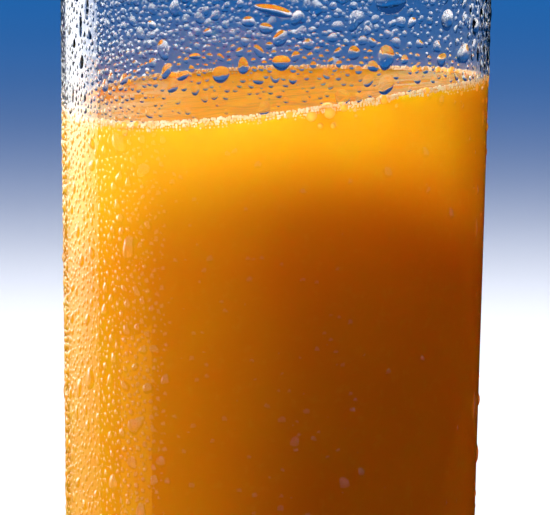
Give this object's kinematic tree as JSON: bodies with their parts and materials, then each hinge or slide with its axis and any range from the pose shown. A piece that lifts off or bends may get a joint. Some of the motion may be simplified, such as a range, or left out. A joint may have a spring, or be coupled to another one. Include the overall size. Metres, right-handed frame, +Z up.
{
  "type": "glass of orange juice",
  "caption": "Tall round clear drinking glass with a thick base, three quarters full of orange juice whose surface swirls up one side.",
  "frame": {"origin": "centre of the foot, on the plane that the glass stands on", "axes": "+Z up along the axis of the glass; +X towards the side on which the juice stands highest; the picture looks along +Y"},
  "size_m": [0.068, 0.068, 0.14],
  "materials": {
    "clear_glass": "clear, polished, wet with fine drops outside",
    "juice": "cloudy yellow-orange liquid with a wet surface"
  },
  "bodies": {
    "root": {"glass": "clear_glass", "juice": "juice"}
  },
  "joints": []
}
